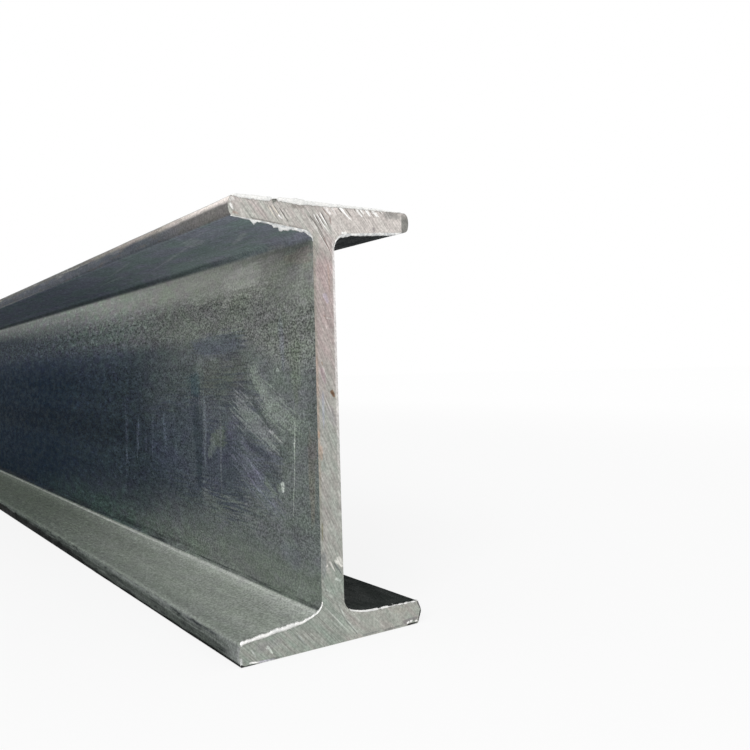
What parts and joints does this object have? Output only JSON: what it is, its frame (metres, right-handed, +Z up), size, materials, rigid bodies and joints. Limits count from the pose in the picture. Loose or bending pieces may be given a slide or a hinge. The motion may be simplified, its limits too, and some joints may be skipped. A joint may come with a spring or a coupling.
{
  "type": "steel i-beam",
  "caption": "Hot-rolled steel I-beam with tapered flanges, root fillets and square-sawn ends, cut to a stock length.",
  "frame": {"origin": "centre of the bottom flange's outer face, at half length: the middle of what it lies on", "axes": "+Y along the bar, away from the end in the picture; +Z up the web; +X across the flanges"},
  "size_m": [0.145, 6, 0.305],
  "materials": {
    "rolled_steel": "dark blue-grey mill scale with scuffs and pits, sawn end faces bright grey with saw scratches and burrs"
  },
  "bodies": {
    "root": {"i_beam": "rolled_steel"}
  },
  "joints": []
}
